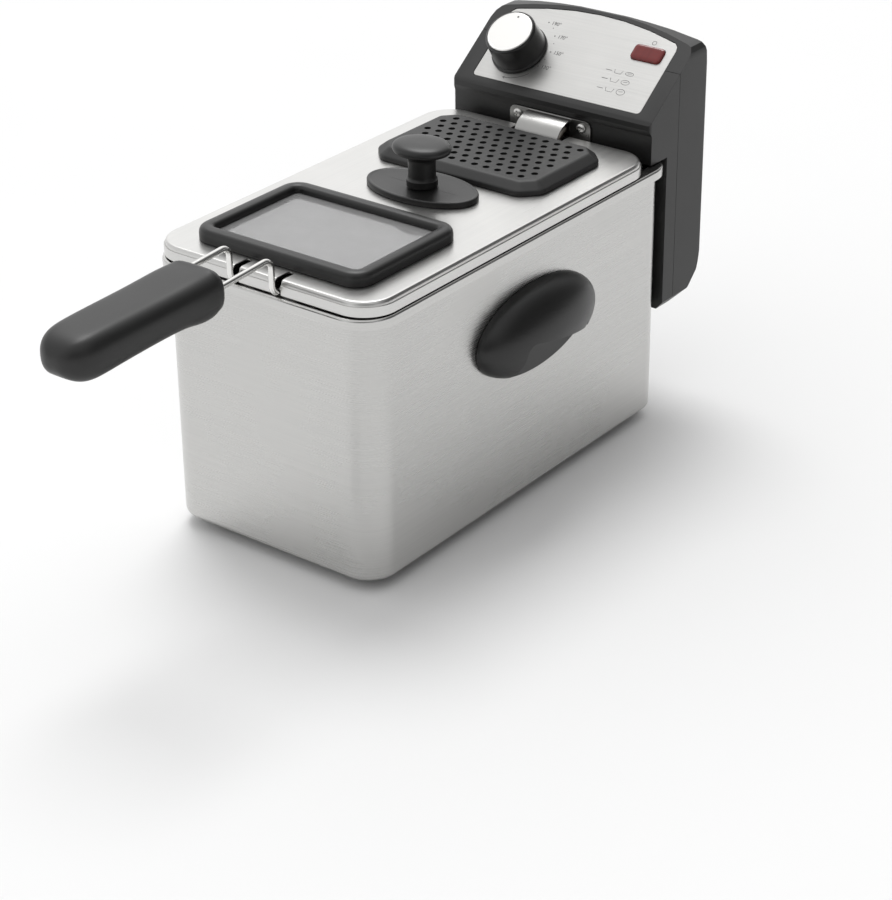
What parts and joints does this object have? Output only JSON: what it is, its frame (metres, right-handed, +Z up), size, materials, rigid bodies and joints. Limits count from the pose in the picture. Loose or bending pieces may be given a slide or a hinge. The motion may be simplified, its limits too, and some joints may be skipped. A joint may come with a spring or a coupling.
{
  "type": "deep fryer",
  "caption": "Brushed steel deep fryer with lift-out tank, mesh basket on a detachable handle, windowed lid, side handles and clip-on control unit with dial.",
  "frame": {"origin": "on the table, under the middle of the whole object (grip tip to control unit's back)", "axes": "+Z up, -Y towards the basket handle, +Y towards the control unit, X across"},
  "size_m": [0.226, 0.578, 0.2797],
  "materials": {
    "brushed_steel": "fine horizontal brushed grain, satin",
    "inner_steel": "plain rolled sheet",
    "element_steel": "satin tube, slightly heat toned",
    "chrome_wire": "bright chrome-plated wire",
    "plated_bracket": "polished nickel plate",
    "screw_steel": "bright zinc plate",
    "black_plastic": "fine satin moulded texture",
    "faceplate_metal": "fine brushed, printed in dark grey",
    "dial_metal": "satin disc with a bright bevelled edge",
    "black_rubber": "matt",
    "smoked_glass": "grey tinted, polished",
    "red_lens": "clear dark red, glossy",
    "red_button": "glossy red",
    "ceramic": "matt cream insulator",
    "filter_mesh": "knitted metal filter"
  },
  "bodies": {
    "housing": {"outer_shell": "brushed_steel", "base_plate": "inner_steel", "foot_front_left": "black_rubber", "foot_front_right": "black_rubber", "foot_rear_left": "black_rubber", "foot_rear_right": "black_rubber", "side_handle_left": "black_plastic", "side_handle_right": "black_plastic", "handle_clamp_left": "inner_steel", "handle_clamp_right": "inner_steel", "control_guide": "inner_steel"},
    "tank": {"oil_tank": "brushed_steel"},
    "control_unit": {"control_front_shell": "black_plastic", "control_rear_cover": "black_plastic", "faceplate": "faceplate_metal", "element_shroud": "plated_bracket", "shroud_screw_left": "screw_steel", "shroud_screw_right": "screw_steel", "heating_element": "element_steel", "element_flange": "inner_steel", "thermostat_bulb": "screw_steel", "cutout_bulb": "screw_steel", "sensor_clip": "inner_steel", "thermostat_body": "ceramic", "lamp_body": "ceramic", "cutout_body": "ceramic", "terminal_block": "ceramic", "interlock_switch": "black_plastic", "indicator_lens": "red_lens", "cord_gland": "black_rubber", "rear_screw_1": "screw_steel", "rear_screw_2": "screw_steel", "rear_screw_3": "screw_steel", "rear_screw_4": "screw_steel"},
    "dial": {"dial_knob": "black_plastic", "dial_cap": "dial_metal", "thermostat_shaft": "screw_steel"},
    "reset": {"reset_button": "red_button"},
    "basket": {"basket_mesh": "chrome_wire", "basket_rim_wire": "chrome_wire", "basket_hoop_front": "chrome_wire", "basket_hoop_rear": "chrome_wire", "basket_bracket": "inner_steel"},
    "handle": {"handle_grip": "black_plastic", "handle_wire_left": "chrome_wire", "handle_wire_right": "chrome_wire", "grip_screw": "screw_steel"},
    "lid": {"lid_panel": "brushed_steel", "lid_liner": "inner_steel", "window_frame": "black_plastic", "window_pane": "smoked_glass", "window_seal": "black_rubber", "knob_base": "black_plastic", "lid_knob": "black_plastic", "knob_screw": "screw_steel", "filter_cover": "black_plastic", "grease_filter": "filter_mesh"}
  },
  "joints": [
    {"name": "tank_lift", "type": "slide", "parent": "housing", "child": "tank", "axis": [0, 0, 1], "range_m": [0, 0.19]},
    {"name": "control_lift", "type": "slide", "parent": "tank", "child": "control_unit", "axis": [0, 0, 1], "range_m": [0, 0.19]},
    {"name": "basket_lift", "type": "slide", "parent": "control_unit", "child": "basket", "axis": [0, 0, 1], "range_m": [0, 0.14]},
    {"name": "handle_detach", "type": "slide", "parent": "basket", "child": "handle", "axis": [0, 0, 1], "range_m": [0, 0.05]},
    {"name": "lid_lift", "type": "slide", "parent": "basket", "child": "lid", "axis": [0, 0, 1], "range_m": [0, 0.12]},
    {"name": "dial_turn", "type": "hinge", "parent": "control_unit", "child": "dial", "pos_m": [-0.047, 0.24176, 0.25155], "axis": [0, 0.5878, -0.809], "range_deg": [0, 210]},
    {"name": "reset_press", "type": "slide", "parent": "control_unit", "child": "reset", "axis": [0, -1, 0], "range_m": [0, 0.0015], "stiffness_N_per_m": 400, "springref_m": -0.001}
  ]
}
